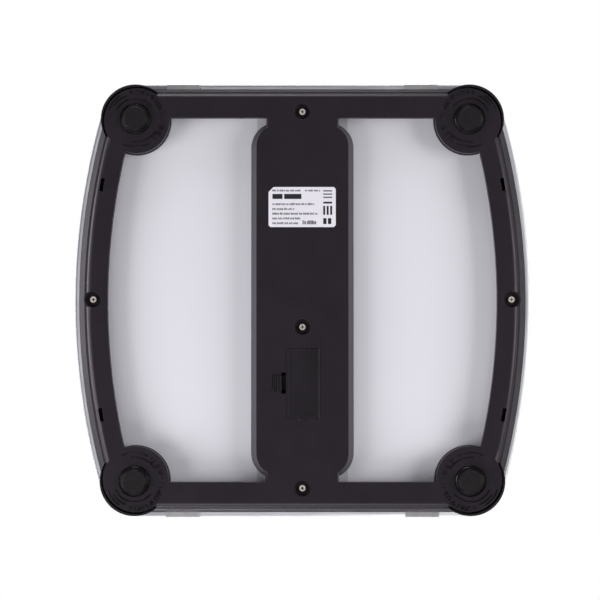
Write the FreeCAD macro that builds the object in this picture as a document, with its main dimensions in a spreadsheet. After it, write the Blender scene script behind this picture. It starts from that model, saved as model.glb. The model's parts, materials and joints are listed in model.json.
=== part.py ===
import FreeCAD, Part
import math
import os
import re
import Sketcher
from FreeCAD import Rotation, Vector

# Digital bathroom scale: a glass platform bonded to a plastic tray, a lower cover screwed under it,
# four load-cell feet in round corner pods, a battery compartment and a display board in the spine.
# Millimetres, +Z up. The origin is on the floor under the middle of the scale. The display is at +Y
# (far end), the user stands facing it, and +X is the user's right.

DOC = FreeCAD.newDocument("bathroom_scale")

# ---------------------------------------------------------------- driving dimensions

DIMENSIONS = [
    # heights above the floor
    ("cover_face", 4.5), ("cover_skin", 1.8), ("cover_rim", 9.4), ("tray_rim", 9.6),
    ("tray_roof", 17.0), ("tray_top", 18.2), ("glass_under", 18.6), ("glass_thick", 6.0),
    # plan of the glass: straight front and back, long side arcs, round corners
    ("glass_half_x", 165.0), ("glass_half_y", 156.5), ("side_radius", 493.0), ("corner_radius", 27.0),
    ("glass_edge", 1.0),
    # how far the tray and the cover stand back from the glass edge
    ("tray_top_inset", 3.2), ("tray_rim_inset_x", 8.1), ("tray_rim_inset_y", 6.6),
    ("cover_inset_x", 9.8), ("cover_inset_y", 7.8), ("cover_edge", 4.0), ("frame_corner", 20.0),
    ("wall", 2.0),
    # the two windows of the frame
    ("window_half_y", 130.5), ("window_radius", 467.6),
    # the spine between the windows
    ("spine_half", 33.0), ("spine_flare", 4.1), ("neck_half", 25.2), ("neck_flare", 1.2),
    ("shoulder_x", 18.2), ("shoulder_y", 110.3),
    # corner pods
    ("pod_x", 120.0), ("pod_y", 129.8), ("cup_radius", 24.9), ("cup_wall", 1.6), ("cup_lip", 5.1),
    ("disc_radius", 23.4), ("disc_shift_x", 1.0), ("disc_shift_y", 1.4), ("disc_gap", 1.5),
    # feet and load cells
    ("foot_hole", 11.1), ("foot_radius", 10.6), ("foot_sole", 8.6), ("foot_flange", 12.9),
    ("foot_top", 12.0), ("pad_radius", 8.1), ("pad_thick", 1.6), ("pad_proud", 0.5),
    ("cell_half", 16.0), ("cell_low", 13.0), ("cell_thick", 2.0), ("collar_wall", 1.5),
    ("gauge_thick", 0.3),
    # screws
    ("screw_side_x", 150.0), ("screw_far_y", 135.1), ("screw_mid_y", -19.7), ("screw_near_y", -134.9),
    ("recess_mouth", 5.9), ("recess_floor", 4.7), ("recess_wall", 0.7), ("seat_low", 8.2),
    ("seat_thick", 1.6), ("head_radius", 2.2), ("head_thick", 1.7), ("shank_radius", 1.3),
    ("screw_tip", 16.2), ("boss_radius", 3.2),
    # snap slots of the side bars
    ("snap_x", 143.8), ("snap_y", 82.4), ("snap_width", 2.7), ("snap_length", 9.5), ("snap_turn", 9.9),
    # battery door, latch and compartment
    ("door_left", -12.5), ("door_right", 11.7), ("door_far", -35.2), ("door_near", -85.3),
    ("door_gap", 0.4), ("door_thick", 1.6), ("barrel_radius", 0.9), ("peg_radius", 0.55),
    ("peg_length", 1.3), ("latch_slot_left", 15.1), ("latch_end", 21.6), ("latch_far", -54.0),
    ("latch_near", -65.4), ("slot_far", -52.0), ("slot_near", -67.4), ("latch_leg", 1.0),
    ("latch_high", 10.4), ("bay_mid", -0.4), ("bay_half", 11.2), ("bay_far", -33.4),
    ("bay_near", -126.2), ("bay_wall", 1.4), ("bay_low", 6.5),
    ("battery_radius", 5.15), ("battery_length", 44.5), ("battery_z", 11.75), ("battery_far", -35.1),
    # display, board and keys
    ("display_y", 92.0), ("holder_half_x", 29.0), ("holder_half_y", 16.5), ("holder_wall", 1.6),
    ("board_half_x", 28.0), ("board_near", 50.0), ("board_far", 116.0), ("board_low", 10.0),
    ("board_thick", 1.6), ("board_screw_x", 24.5), ("key_y", 64.0), ("key_pitch", 18.0),
    ("key_radius", 5.6), ("key_clear", 0.3), ("key_flange", 7.2), ("key_proud", 0.8),
    # stainless electrodes folded over the glass edges
    ("electrode_x", 86.4), ("electrode_half", 12.1), ("electrode_thick", 0.4), ("electrode_end", 30.0),
    ("electrode_tail", 148.0),
    # rating label
    ("label_left", -23.9), ("label_right", 24.3), ("label_near", 51.9), ("label_far", 80.7),
    ("label_cut", 3.6), ("label_thick", 0.12),
    # leads, with the radius of each kind's bends
    ("lead_radius", 0.9), ("lead_bend", 2.0), ("thin_lead_radius", 0.6), ("thin_lead_bend", 1.2),
    ("supply_lead_radius", 0.7), ("supply_lead_bend", 1.5),
    # load cells: the tongue between its slots, the holder's rim, its gap for the lead, the gauge
    ("tongue_side", 8.0), ("tongue_slot_half", 0.8), ("tongue_root", 9.0), ("tongue_tip", 10.8),
    ("tongue_end", 12.4), ("holder_rim", 2.6), ("gate_x", 15.0), ("gate_y", 9.0), ("gate_half_x", 3.0),
    ("gate_half_y", 2.0), ("gauge_half", 3.0), ("gauge_near", 3.0), ("gauge_far", 8.0),
    # how far the tray's window wall stands behind the cover's, and the hooks above the snap slots
    ("tray_setback", 1.6), ("hook_sink", 4.2), ("hook_slack_x", 1.1), ("hook_slack_y", 1.5),
    # posts and screws of the board
    ("post_inset", 3.5), ("board_screw_head", 2.0), ("board_head_thick", 1.4), ("board_shank", 1.0),
    ("board_screw_length", 6.0),
    # display stack, key stems and switches
    ("panel_low", 4.0), ("panel_high", 6.3), ("zebra_half_x", 25.0), ("zebra_half_y", 0.9),
    ("guide_half_x", 26.0), ("guide_low", 0.8), ("guide_high", 3.4), ("stem_radius", 2.0),
    ("plunger_radius", 1.7), ("switch_half", 3.0), ("switch_high", 3.0), ("switch_bore", 1.78),
    # the sunk middle of the battery door, its foam, and the battery contacts
    ("door_sunk_rim", 1.9), ("door_sunk_far", 1.2), ("door_sunk_deep", 0.35), ("foam_half", 7.0),
    ("foam_end", 10.0), ("foam_thick", 0.35), ("contact_half", 3.7), ("contact_thick", 0.4),
    ("contact_wide", 8.0), ("bridge_wide", 20.0),
    # bonding tape around the windows, the electrodes and the corners
    ("tape_inset", 1.5), ("tape_tail", 5.0), ("tape_margin", 0.5), ("tape_corner_half", 28.0),
]

CORNERS = [("near_left", -1, -1), ("near_right", 1, -1), ("far_left", -1, 1), ("far_right", 1, 1)]
SCREWS = [("0", "screw_far_y"), ("0", "screw_mid_y"), ("0", "screw_near_y"),
          ("-screw_side_x", "0"), ("screw_side_x", "0")]
KEYS = [("set", -1), ("up", 0), ("down", 1)]

SHEET = DOC.addObject("Spreadsheet::Sheet", "Dims")
for row, (alias, value) in enumerate(DIMENSIONS, start=1):
    SHEET.set(f"A{row}", alias)
    SHEET.set(f"B{row}", str(value))
    SHEET.setAlias(f"B{row}", alias)
DOC.recompute()

ALIASES = re.compile(r"\b(" + "|".join(alias for alias, value in DIMENSIONS) + r")\b")
NODES = []


def dim(alias):
    """The value of one cell of the sheet."""
    return float(SHEET.get(alias))


def formula(text):
    """Turns words such as wall + 2 into an expression on the sheet's cells."""
    return ALIASES.sub(r"Dims.\1", str(text))


def bind(thing, **sizes):
    """Binds properties of a document object to formulas."""
    for name, text in sizes.items():
        thing.setExpression(name, formula(text))
    return thing


def place(thing, x="0", y="0", z="0"):
    """Binds where a document object stands."""
    for axis, text in (("x", x), ("y", y), ("z", z)):
        if str(text) != "0":
            thing.setExpression("Placement.Base." + axis, formula(text))
    return thing


# ---------------------------------------------------------------- shapes

def box(name, x0, x1, y0, y1, z0, z1):
    """A block between six planes."""
    made = DOC.addObject("Part::Box", name)
    bind(made, Length=f"({x1}) - ({x0})", Width=f"({y1}) - ({y0})", Height=f"({z1}) - ({z0})")
    return place(made, x0, y0, z0)


def rod(name, radius, x, y, z0, z1):
    """An upright cylinder between two heights."""
    made = DOC.addObject("Part::Cylinder", name)
    bind(made, Radius=radius, Height=f"({z1}) - ({z0})")
    return place(made, x, y, z0)


def taper(name, low_radius, high_radius, x, y, z0, z1):
    """An upright cone frustum between two heights."""
    made = DOC.addObject("Part::Cone", name)
    bind(made, Radius1=low_radius, Radius2=high_radius, Height=f"({z1}) - ({z0})")
    return place(made, x, y, z0)


def rod_y(name, radius, x, z, y0, y1):
    """A cylinder along Y between y0 and y1."""
    made = DOC.addObject("Part::Cylinder", name)
    made.Placement.Rotation = Rotation(Vector(1, 0, 0), -90)
    bind(made, Radius=radius, Height=f"({y1}) - ({y0})")
    return place(made, x, y0, z)


def fuse(name, *pieces):
    made = DOC.addObject("Part::MultiFuse", name)
    made.Shapes = list(pieces)
    made.Refine = True
    return made


def common(name, *pieces):
    made = DOC.addObject("Part::MultiCommon", name)
    made.Shapes = list(pieces)
    return made


def cut(name, base, *tools):
    made = DOC.addObject("Part::Cut", name)
    made.Base = base
    made.Tool = tools[0] if len(tools) == 1 else fuse(name + "_tools", *tools)
    made.Refine = True
    return made


def group(name, pieces):
    """Separate solids that share one node."""
    made = DOC.addObject("Part::Compound", name)
    made.Links = pieces
    return made


def rounded(name, base, radius, wanted):
    """Rounds the edges of base that wanted(edge) picks."""
    DOC.recompute()
    edges = [i for i, edge in enumerate(base.Shape.Edges, start=1) if wanted(edge)]
    made = DOC.addObject("Part::Fillet", name)
    made.Base = base
    made.Edges = [(i, dim(radius), dim(radius)) for i in edges]
    return made


def node(made, label):
    """Marks a finished sub-part and names it."""
    made.Label = label
    NODES.append(made)
    return made


def body(name):
    return DOC.addObject("PartDesign::Body", name)


def plane(owner, role):
    return next(item for item in owner.Origin.OriginFeatures if item.Role == role)


def profile(owner, role, points):
    """A closed outline of straight edges, each corner bound to its two formulas."""
    drawn = owner.newObject("Sketcher::SketchObject", owner.Name + "_outline")
    drawn.AttachmentSupport = (plane(owner, role), [""])
    drawn.MapMode = "FlatFace"
    places = [Vector(float(drawn.evalExpression(formula(f"({u}) * 1"))),
                     float(drawn.evalExpression(formula(f"({v}) * 1"))), 0) for u, v in points]
    count = len(places)
    for i in range(count):
        drawn.addGeometry(Part.LineSegment(places[i], places[(i + 1) % count]), False)
    for i in range(count):
        drawn.addConstraint(Sketcher.Constraint("Coincident", i, 2, (i + 1) % count, 1))
    for i, (u, v) in enumerate(points):
        across = drawn.addConstraint(Sketcher.Constraint("DistanceX", -1, 1, i, 1, places[i].x))
        drawn.setExpression(f"Constraints[{across}]", formula(u))
        up = drawn.addConstraint(Sketcher.Constraint("DistanceY", -1, 1, i, 1, places[i].y))
        drawn.setExpression(f"Constraints[{up}]", formula(v))
    return drawn


def pad(name, role, points, length, midplane=False):
    """A prism of a straight-edged outline."""
    owner = body(name)
    drawn = profile(owner, role, points)
    made = owner.newObject("PartDesign::Pad", name + "_pad")
    made.Profile = drawn
    made.Midplane = midplane
    bind(made, Length=length)
    return owner


def turned(name, points):
    """A solid turned about Z: points are (radius, height)."""
    owner = body(name)
    drawn = profile(owner, "XZ_Plane", points)
    made = owner.newObject("PartDesign::Revolution", name + "_turn")
    made.Profile = drawn
    made.ReferenceAxis = (drawn, ["V_Axis"])
    made.Angle = 360
    return owner


# ---------------------------------------------------------------- plan of the scale

ARC_X = "(side_radius - glass_half_x)"


def lens(name, half_y, radius, z0, z1):
    """A block with straight front and back and two bowed sides."""
    block = box(name + "_block", "-glass_half_x", "glass_half_x", f"-({half_y})", half_y, z0, z1)
    right = rod(name + "_right", radius, "-" + ARC_X, "0", z0, z1)
    left = rod(name + "_left", radius, ARC_X, "0", z0, z1)
    return common(name, block, right, left)


def flared_lens(name, inset):
    """The tray's outside: like the lens, but wider at the top, from the rim to the tray's top."""
    low, high = f"glass_half_y - tray_rim_inset_y - {inset}", f"glass_half_y - tray_top_inset - {inset}"
    bank = pad(name + "_bank", "YZ_Plane",
               [(f"-({low})", "tray_rim"), (low, "tray_rim"), (high, "tray_top"), (f"-({high})", "tray_top")],
               "glass_half_x * 2", midplane=True)
    narrow, wide = f"side_radius - tray_rim_inset_x - {inset}", f"side_radius - tray_top_inset - {inset}"
    right = taper(name + "_right", narrow, wide, "-" + ARC_X, "0", "tray_rim", "tray_top")
    left = taper(name + "_left", narrow, wide, ARC_X, "0", "tray_rim", "tray_top")
    trim = lens(name + "_trim", f"{high} - 0.05", f"{wide} - 0.05", "tray_rim", "tray_top")
    corners = rounded(name + "_corners", trim, "frame_corner", is_corner_edge)
    return common(name, bank, right, left, corners)


def is_corner_edge(edge):
    """True for the four upright or leaning edges where the straight ends meet the side arcs."""
    upright = edge.BoundBox.ZLength > 1 and edge.BoundBox.XLength < 8
    return upright and abs(edge.CenterOfMass.y) > dim("pod_y")


def spine(name, inset, z0, z1, flare="0", neck_flare="0"):
    """The wide bar down the middle, with a narrower neck at each end and round shoulders."""
    half, neck = f"spine_half - {inset}", f"neck_half - {inset}"
    main = pad(name + "_main", "XZ_Plane",
               [(f"-({half})", z0), (half, z0), (f"{half} + {flare}", z1), (f"-({half}) - {flare}", z1)],
               "shoulder_y * 2", midplane=True)
    ends = pad(name + "_neck", "XZ_Plane",
               [(f"-({neck})", z0), (neck, z0), (f"{neck} + {neck_flare}", z1),
                (f"-({neck}) - {neck_flare}", z1)],
               "(window_half_y + tray_setback + wall) * 2", midplane=True)
    shoulders = [taper(f"{name}_shoulder_{corner}", f"{half} - shoulder_x", f"{half} - shoulder_x + {flare}",
                       f"{sx} * shoulder_x", f"{sy} * shoulder_y", z0, z1) for corner, sx, sy in CORNERS]
    return fuse(name, main, ends, *shoulders)


def pods(name, radius, z0, z1, shift="0"):
    """One round of each corner pod; shift moves it towards the middle of the scale."""
    return [rod(f"{name}_{corner}", radius, f"{sx} * (pod_x - disc_shift_x * {shift})",
                f"{sy} * (pod_y - disc_shift_y * {shift})", z0, z1) for corner, sx, sy in CORNERS]


# ---------------------------------------------------------------- glass, electrodes, tape

def glass_platform():
    slab = lens("glass_slab", "glass_half_y", "side_radius", "glass_under", "glass_under + glass_thick")
    rounded_slab = rounded("glass_round", slab, "corner_radius", is_corner_edge)
    ground = rounded("glass_ground", rounded_slab, "glass_edge", lambda edge: edge.BoundBox.ZLength < 0.1)
    holes = [rod(f"glass_hole_{key}", "key_radius + key_clear", f"{step} * key_pitch", "key_y",
                 "glass_under - 1", "glass_under + glass_thick + 1") for key, step in KEYS]
    node(cut("glass", ground, *holes), "glass_platform")


def electrodes():
    """Stainless strips along the top, folded down over the edge and tucked under the glass."""
    top, under = "glass_under + glass_thick", "glass_under"
    outer = "glass_half_y + electrode_thick"
    bend = "electrode_thick * 0.7"
    for corner, sx, sy in CORNERS:
        side = [("electrode_end", top), ("glass_half_y", top), ("glass_half_y", under),
                ("electrode_tail", under), ("electrode_tail", f"{under} - electrode_thick"),
                (f"{outer} - {bend}", f"{under} - electrode_thick"),
                (outer, f"{under} - electrode_thick + {bend}"), (outer, f"{top} + electrode_thick - {bend}"),
                (f"{outer} - {bend}", f"{top} + electrode_thick"),
                ("electrode_end", f"{top} + electrode_thick")]
        strip = pad(f"electrode_{corner}", "YZ_Plane", [(f"{sy} * ({y})", z) for y, z in side],
                    "electrode_half * 2", midplane=True)
        place(strip, f"{sx} * electrode_x")
        node(strip, f"electrode_{corner}")


def bonding_tape():
    """Double-sided foam tape between the tray and the glass."""
    edge = "tray_top_inset + tape_inset"
    sheet = lens("tape_sheet", f"glass_half_y - {edge}", f"side_radius - {edge}", "tray_top", "glass_under")
    hollow = lens("tape_hollow", "window_half_y + tray_setback + tape_inset",
                  "window_radius + tray_setback + tape_inset", "tray_top - 1", "glass_under + 1")
    ring = cut("tape_ring", sheet, hollow)
    reach = "window_half_y + tray_setback + wall"
    middle = box("tape_middle", "-spine_half", "spine_half", f"-({reach})", reach, "tray_top", "glass_under")
    shape = fuse("tape_shape", ring, middle)
    tails = [box(f"tape_tail_{corner}", f"{sx} * electrode_x - electrode_half - tape_margin",
                 f"{sx} * electrode_x + electrode_half + tape_margin",
                 f"{sy} * (electrode_tail + tape_tail) - 6", f"{sy} * (electrode_tail + tape_tail) + 6",
                 "tray_top - 1", "glass_under + 1") for corner, sx, sy in CORNERS]
    corners = [box(f"tape_corner_{corner}", f"{sx} * pod_x - tape_corner_half",
                   f"{sx} * pod_x + tape_corner_half",
                   f"{sy} * (glass_half_y - 10) - 12", f"{sy} * (glass_half_y - 10) + 12",
                   "tray_top - 1", "glass_under + 1") for corner, sx, sy in CORNERS]
    screen = box("tape_screen", "-holder_half_x - 1", "holder_half_x + 1", "display_y - holder_half_y - 1",
                 "display_y + holder_half_y + 1", "tray_top - 1", "glass_under + 1")
    keys = [rod(f"tape_key_{key}", "key_flange + tape_margin", f"{step} * key_pitch", "key_y", "tray_top - 1",
                "glass_under + 1") for key, step in KEYS]
    node(cut("tape", shape, screen, *tails, *corners, *keys), "bonding_tape")


# ---------------------------------------------------------------- upper tray

def slanted(name, width, length, x, y, turn, z0, z1):
    """An upright block turned about Z, centred on x, y."""
    made = DOC.addObject("Part::Box", name)
    bind(made, Length=width, Width=length, Height=f"({z1}) - ({z0})")
    angle = f"({turn})"
    made.setExpression("Placement.Rotation.Angle", formula(angle))
    made.setExpression("Placement.Base.x", formula(
        f"({x}) - ({width}) / 2 * cos({angle}) + ({length}) / 2 * sin({angle})"))
    made.setExpression("Placement.Base.y", formula(
        f"({y}) - ({width}) / 2 * sin({angle}) - ({length}) / 2 * cos({angle})"))
    return place(made, z=z0)


def board_corner(sx, sy):
    """Where one of the board's four screws stands."""
    return (f"{sx} * board_screw_x",
            f"(board_near + board_far) / 2 + {sy} * ((board_far - board_near) / 2 - post_inset)")


def upper_tray():
    outside = flared_lens("tray_outside", "0")
    window = lens("tray_window", "window_half_y + tray_setback", "window_radius + tray_setback",
                  "tray_rim - 1", "tray_top + 1")
    ring = cut("tray_ring", outside, window)
    middle = spine("tray_spine", "0", "tray_rim", "tray_top", "spine_flare", "neck_flare")
    cups = pods("tray_cup", "cup_radius", "tray_rim", "tray_top")
    solid = fuse("tray_solid", ring, middle, *cups)

    inside = flared_lens("tray_inside", "wall")
    inside_window = lens("tray_inside_window", "window_half_y + tray_setback + wall",
                         "window_radius + tray_setback + wall", "tray_rim - 2", "tray_top + 2")
    inside_ring = cut("tray_inside_ring", inside, inside_window)
    inside_spine = spine("tray_inside_spine", "wall", "tray_rim", "tray_top", "spine_flare", "neck_flare")
    inside_cups = pods("tray_inside_cup", "cup_radius - cup_wall", "tray_rim", "tray_top")
    slab = box("tray_slab", "-glass_half_x", "glass_half_x", "-glass_half_y", "glass_half_y",
               "tray_rim - 1", "tray_roof")
    hollow = common("tray_hollow", fuse("tray_hollow_all", inside_ring, inside_spine, *inside_cups), slab)
    shell = cut("tray_shell", solid, hollow)

    lip_rounds = pods("lip_round", "cup_radius", "cup_lip", "tray_rim + 1")
    lip_clear = pods("lip_clear", "disc_radius + disc_gap", "cup_lip - 1", "tray_rim + 2", shift="1")
    lip_frame = lens("lip_frame", "glass_half_y - cover_inset_y + 0.5",
                     "side_radius - cover_inset_x + 0.5", "cup_lip - 1", "tray_rim")
    lips = cut("lips", fuse("lip_rounds", *lip_rounds), lip_frame, *lip_clear)

    bosses = [rod(f"tray_boss_{i}", "boss_radius", x, y, "seat_low + seat_thick", "tray_roof + 0.5")
              for i, (x, y) in enumerate(SCREWS)]
    pilots = [rod(f"tray_pilot_{i}", "shank_radius + 0.02", x, y, "seat_low", "screw_tip + 0.3")
              for i, (x, y) in enumerate(SCREWS)]

    bay = box("bay_block", "bay_mid - bay_half - bay_wall", "bay_mid + bay_half + bay_wall",
              "bay_near - bay_wall", "bay_far + bay_wall", "bay_low", "tray_roof + 0.5")
    bay_room = box("bay_room", "bay_mid - bay_half", "bay_mid + bay_half", "bay_near", "bay_far",
                   "bay_low - 1", "tray_roof")
    bay_notch = box("bay_notch", "bay_mid + bay_half - 1", "bay_mid + bay_half + bay_wall + 1",
                    "latch_near - 1", "latch_far + 1", "bay_low - 1", "latch_high + 0.6")
    bay_walls = cut("bay_walls", bay, bay_room, bay_notch)

    posts = [rod(f"board_post_{corner}", "boss_radius", *board_corner(sx, sy), "board_low + board_thick",
                 "tray_roof + 0.5") for corner, sx, sy in CORNERS]
    post_holes = [rod(f"board_post_hole_{corner}", "board_shank + 0.02", *board_corner(sx, sy), "board_low",
                      "board_low + board_screw_length + 0.6") for corner, sx, sy in CORNERS]

    screen = box("tray_screen", "-holder_half_x - 0.3", "holder_half_x + 0.3",
                 "display_y - holder_half_y - 0.3", "display_y + holder_half_y + 0.3", "tray_roof - 1",
                 "tray_top + 1")
    key_holes = [rod(f"tray_key_{key}", "key_radius + key_clear", f"{step} * key_pitch", "key_y",
                     "tray_roof - 1", "tray_top + 1") for key, step in KEYS]
    wire_holes = [rod(f"tray_wire_{corner}", "lead_radius + 0.1", f"{sx} * (electrode_x - 6)",
                      f"{sy} * (electrode_tail - 6)", "tray_roof - 1", "tray_top + 1")
                  for corner, sx, sy in CORNERS]
    hooks = [slanted(f"snap_hook_{corner}", "snap_width - hook_slack_x", "snap_length - hook_slack_y",
                     f"{sx} * snap_x", f"{sy} * snap_y", f"{sx * sy} * snap_turn", "cover_face + hook_sink",
                     "tray_roof + 0.5") for corner, sx, sy in CORNERS]
    reliefs = [taper(f"tray_relief_{i}", "recess_mouth + recess_wall + 0.1",
                     "recess_floor + recess_wall + 0.1", x, y, "cover_face + 0.6", "seat_low + seat_thick")
               for i, (x, y) in enumerate(SCREWS[3:])]
    full = fuse("tray_full", shell, lips, bay_walls, *bosses, *posts, *hooks)
    node(cut("tray", full, screen, *reliefs, *pilots, *post_holes, *key_holes, *wire_holes), "upper_tray")


# ---------------------------------------------------------------- lower cover

def cover_plan(name, inset, z0, z1):
    """The cover's outside and its window as two upright blocks, the bars between them thinned by inset."""
    outside = lens(name + "_outside", f"glass_half_y - cover_inset_y - {inset}",
                   f"side_radius - cover_inset_x - {inset}", z0, z1)
    window = lens(name + "_window", f"window_half_y + {inset}", f"window_radius + {inset}",
                  f"({z0}) - 1", f"({z1}) + 1")
    return outside, window


def lower_cover():
    outside, window = cover_plan("cover", "0", "cover_face", "cover_rim")
    corners = rounded("cover_corners", outside, "frame_corner", is_corner_edge)
    edged = rounded("cover_edged", corners, "cover_edge",
                    lambda edge: edge.BoundBox.ZMax < dim("cover_face") + 0.1)
    ring = cut("cover_ring", edged, window)
    middle = spine("cover_spine", "0", "cover_face", "cover_rim")
    discs = pods("cover_disc", "disc_radius", "cover_face", "cover_rim", shift="1")
    solid = fuse("cover_solid", ring, middle, *discs)

    inner_out, inner_window = cover_plan("cover_hollow", "wall", "cover_face + cover_skin", "cover_rim + 1")
    inner_ring = cut("cover_hollow_ring", inner_out, inner_window)
    inner_spine = spine("cover_hollow_spine", "wall", "cover_face + cover_skin", "cover_rim + 1")
    inner_discs = pods("cover_hollow_disc", "disc_radius - wall * 0.8", "cover_face + cover_skin",
                       "cover_rim + 1", shift="1")
    above_skin = box("cover_above_skin", "-glass_half_x", "glass_half_x", "-glass_half_y", "glass_half_y",
                   "cover_face + cover_skin", "cover_rim + 2")
    hollow = common("cover_hollow", fuse("cover_hollow_all", inner_ring, inner_spine, *inner_discs), above_skin)
    shell = cut("cover_shell", solid, hollow)

    tubes = [taper(f"recess_tube_{i}", "recess_mouth + recess_wall", "recess_floor + recess_wall", x, y,
                   "cover_face + 0.6", "seat_low + seat_thick") for i, (x, y) in enumerate(SCREWS)]
    mouths = [taper(f"recess_{i}", "recess_mouth", "recess_floor", x, y, "cover_face", "seat_low")
              for i, (x, y) in enumerate(SCREWS)]
    mouths += [rod(f"recess_open_{i}", "recess_mouth", x, y, "cover_face - 1", "cover_face + 0.01")
               for i, (x, y) in enumerate(SCREWS)]
    shanks = [rod(f"seat_hole_{i}", "shank_radius + 0.2", x, y, "seat_low - 1", "seat_low + seat_thick + 1")
              for i, (x, y) in enumerate(SCREWS)]
    collars = pods("foot_collar", "foot_hole + collar_wall", "cover_face", "cover_rim")
    foot_holes = pods("foot_opening", "foot_hole", "cover_face - 1", "cover_rim + 1")

    snap_slots = [slanted(f"snap_slot_{corner}", "snap_width", "snap_length", f"{sx} * snap_x",
                          f"{sy} * snap_y", f"{sx * sy} * snap_turn", "cover_face - 1",
                          "cover_face + cover_skin + 1") for corner, sx, sy in CORNERS]
    low, high = "cover_face - 1", "cover_face + cover_skin + 0.5"
    doorway = box("doorway", "door_left - door_gap", "door_right + door_gap", "door_near - door_gap",
                  "door_far + door_gap", low, high)
    latch_slot = box("latch_slot", "door_right", "latch_slot_left", "slot_near", "slot_far", low, high)
    latch_bed = box("latch_bed", "latch_slot_left - 1", "latch_end + door_gap", "latch_near - door_gap",
                    "latch_far + door_gap", low, high)
    peg_holes = rod_y("peg_holes", "peg_radius + 0.05", "door_left + barrel_radius",
                      "cover_face + barrel_radius", "door_near - peg_length - 0.1",
                      "door_far + peg_length + 0.1")
    full = fuse("cover_full", shell, *tubes, *collars)
    node(cut("cover", full, doorway, latch_slot, latch_bed, peg_holes, *mouths, *shanks, *foot_holes,
             *snap_slots), "lower_cover")


# ---------------------------------------------------------------- fasteners

def screw(name, x, y, seat, head, head_thick, shank, tip, upwards=1):
    """A pan-head screw with a cross recess, its head under the seat."""
    crown = rod(name + "_head", head, x, y, f"({seat}) - ({head_thick})", seat)
    stem = rod(name + "_stem", shank, x, y, seat, tip)
    arm = f"({head}) * 0.6"
    slots = [box(name + "_slot_a", f"({x}) - {arm}", f"({x}) + {arm}", f"({y}) - 0.35", f"({y}) + 0.35",
                 f"({seat}) - ({head_thick}) - 1", f"({seat}) - ({head_thick}) * 0.4"),
             box(name + "_slot_b", f"({x}) - 0.35", f"({x}) + 0.35", f"({y}) - {arm}", f"({y}) + {arm}",
                 f"({seat}) - ({head_thick}) - 1", f"({seat}) - ({head_thick}) * 0.4")]
    return cut(name, fuse(name + "_blank", crown, stem), *slots)


def screws():
    case = [screw(f"case_screw_{i}", x, y, "seat_low", "head_radius", "head_thick", "shank_radius",
                  "screw_tip") for i, (x, y) in enumerate(SCREWS)]
    node(group("case_screw_set", case), "case_screws")
    board = [screw(f"board_screw_{corner}", *board_corner(sx, sy), "board_low", "board_screw_head",
                   "board_head_thick", "board_shank", "board_low + board_screw_length")
             for corner, sx, sy in CORNERS]
    node(group("board_screw_set", board), "board_screws")


# ---------------------------------------------------------------- feet and load cells

def feet():
    for corner, sx, sy in CORNERS:
        x, y = f"{sx} * pod_x", f"{sy} * pod_y"
        neck, step = "cover_face + 0.6", "cover_face - 0.6"
        foot = turned(f"foot_{corner}", [
            ("0", "pad_thick"), ("pad_radius + 0.05", "pad_thick"), ("pad_radius + 0.05", "pad_proud"),
            ("foot_sole", "pad_proud"), ("foot_sole + 0.2", "pad_proud + 0.3"),
            ("foot_radius - 0.6", step), ("foot_radius", f"{neck} - 0.5"), ("foot_radius", "tray_rim - 0.2"),
            ("foot_flange", "tray_rim - 0.2"), ("foot_flange", "tray_rim + 1.2"),
            ("4", "tray_rim + 1.4"), ("3", "foot_top"), ("0", "foot_top")])
        node(place(foot, x, y), f"foot_{corner}")
        pad_disc = turned(f"foot_pad_{corner}", [
            ("0", "0"), ("pad_radius - 0.4", "0"), ("pad_radius", "0.4"), ("pad_radius", "pad_thick"),
            ("0", "pad_thick")])
        node(place(pad_disc, x, y), f"foot_pad_{corner}")


def load_cells():
    high = "cell_low + cell_thick"
    gauges = []
    for corner, sx, sy in CORNERS:
        x, y = f"{sx} * pod_x", f"{sy} * pod_y"
        plate = box(f"cell_plate_{corner}", f"{x} - cell_half", f"{x} + cell_half", f"{y} - cell_half",
                    f"{y} + cell_half", "cell_low", high)
        # a slot on three sides leaves a tongue that the foot presses
        cuts = []
        for side in (-1, 1):
            slot_x = f"{x} + {side} * tongue_side"
            cuts.append(box(f"cell_slot_{corner}_{side + 1}", f"{slot_x} - tongue_slot_half",
                            f"{slot_x} + tongue_slot_half", f"{y} - tongue_tip", f"{y} + tongue_root",
                            "cell_low - 1", f"{high} + 1"))
        cuts.append(box(f"cell_slot_end_{corner}", f"{x} - tongue_side - tongue_slot_half",
                        f"{x} + tongue_side + tongue_slot_half", f"{y} - tongue_end", f"{y} - tongue_tip",
                        "cell_low - 1", f"{high} + 1"))
        node(cut(f"load_cell_{corner}", plate, *cuts), f"load_cell_{corner}")
        frame = box(f"cell_frame_{corner}", f"{x} - cell_half", f"{x} + cell_half", f"{y} - cell_half",
                    f"{y} + cell_half", high, "tray_roof")
        room = box(f"cell_room_{corner}", f"{x} - cell_half + holder_rim", f"{x} + cell_half - holder_rim",
                   f"{y} - cell_half + holder_rim", f"{y} + cell_half - holder_rim", f"{high} - 1",
                   "tray_roof + 1")
        gate_x, gate_y = f"{x} - ({sx} * gate_x)", f"{y} + ({sy} * gate_y)"
        gate = box(f"cell_gate_{corner}", f"{gate_x} - gate_half_x", f"{gate_x} + gate_half_x",
                   f"{gate_y} - gate_half_y", f"{gate_y} + gate_half_y", f"{high} - 1", "tray_roof + 1")
        node(cut(f"cell_holder_{corner}", frame, room, gate), f"cell_holder_{corner}")
        gauges.append(box(f"gauge_{corner}", f"{x} - gauge_half", f"{x} + gauge_half", f"{y} + gauge_near",
                          f"{y} + gauge_far", high, f"{high} + gauge_thick"))
    node(group("gauge_set", gauges), "strain_gauges")


# ---------------------------------------------------------------- leads

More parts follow.
